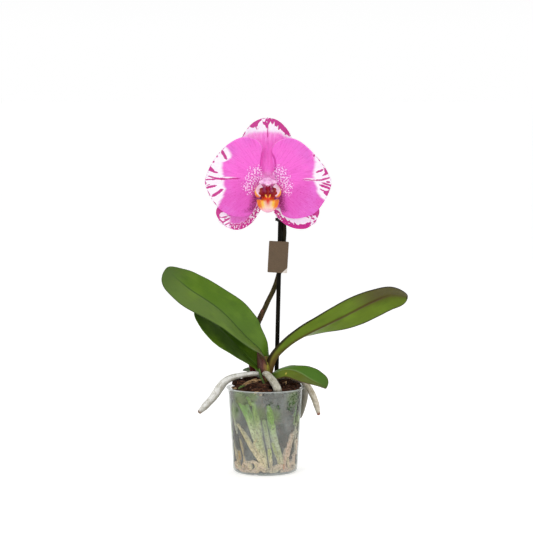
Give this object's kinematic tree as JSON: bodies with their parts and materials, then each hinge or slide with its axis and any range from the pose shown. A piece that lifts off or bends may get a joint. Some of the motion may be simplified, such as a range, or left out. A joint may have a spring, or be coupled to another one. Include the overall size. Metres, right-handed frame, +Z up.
{
  "type": "potted orchid",
  "caption": "Flowering moth orchid in a clear plastic pot of bark, with strap leaves, aerial roots, a stem clipped to a support stake and a hanging care tag.",
  "frame": {"origin": "centre of the pot's flat underside", "axes": "+Z up along the pot's axis; the flower faces -Y; +X is to the right of someone who faces the flower"},
  "size_m": [0.2836, 0.09, 0.408],
  "materials": {
    "pot": "translucent, glossy",
    "bark": "rough, matt",
    "root": "dull, velvety",
    "young_root": "smooth",
    "inner_root": "damp, dull",
    "crown": "smooth",
    "leaf": "waxy, satin",
    "stem": "smooth",
    "stake": "matt",
    "clip": "matt",
    "tag": "printed, ribbed",
    "tepal": "soft satin",
    "lip": "waxy",
    "column": "waxy"
  },
  "bodies": {
    "root": {"aerial_root_back": "root", "aerial_root_front": "root", "aerial_root_left": "root", "aerial_root_right": "root", "anther_cap": "column", "bark_bed": "bark", "bark_chip_1": "bark", "bark_chip_2": "bark", "bark_chip_3": "bark", "bark_chip_4": "bark", "bark_chip_5": "bark", "bark_chip_6": "bark", "bark_chip_7": "bark", "bark_chip_8": "bark", "column": "column", "crown": "crown", "dorsal_sepal": "tepal", "flower_stem": "stem", "lateral_sepal_left": "tepal", "lateral_sepal_right": "tepal", "leaf_lower_left": "leaf", "leaf_right": "leaf", "leaf_small_back": "leaf", "leaf_small_right": "leaf", "leaf_upper_left": "leaf", "lip": "lip", "pedicel": "stem", "petal_left": "tepal", "petal_right": "tepal", "pot": "pot", "pot_root_1": "inner_root", "pot_root_10": "inner_root", "pot_root_11": "inner_root", "pot_root_12": "inner_root", "pot_root_13": "inner_root", "pot_root_14": "inner_root", "pot_root_2": "inner_root", "pot_root_3": "inner_root", "pot_root_4": "inner_root", "pot_root_5": "inner_root", "pot_root_6": "inner_root", "pot_root_7": "inner_root", "pot_root_8": "inner_root", "pot_root_9": "inner_root", "stake": "stake", "stem_clip": "clip", "tag": "tag", "tag_clip": "clip", "young_root": "young_root"}
  },
  "joints": []
}
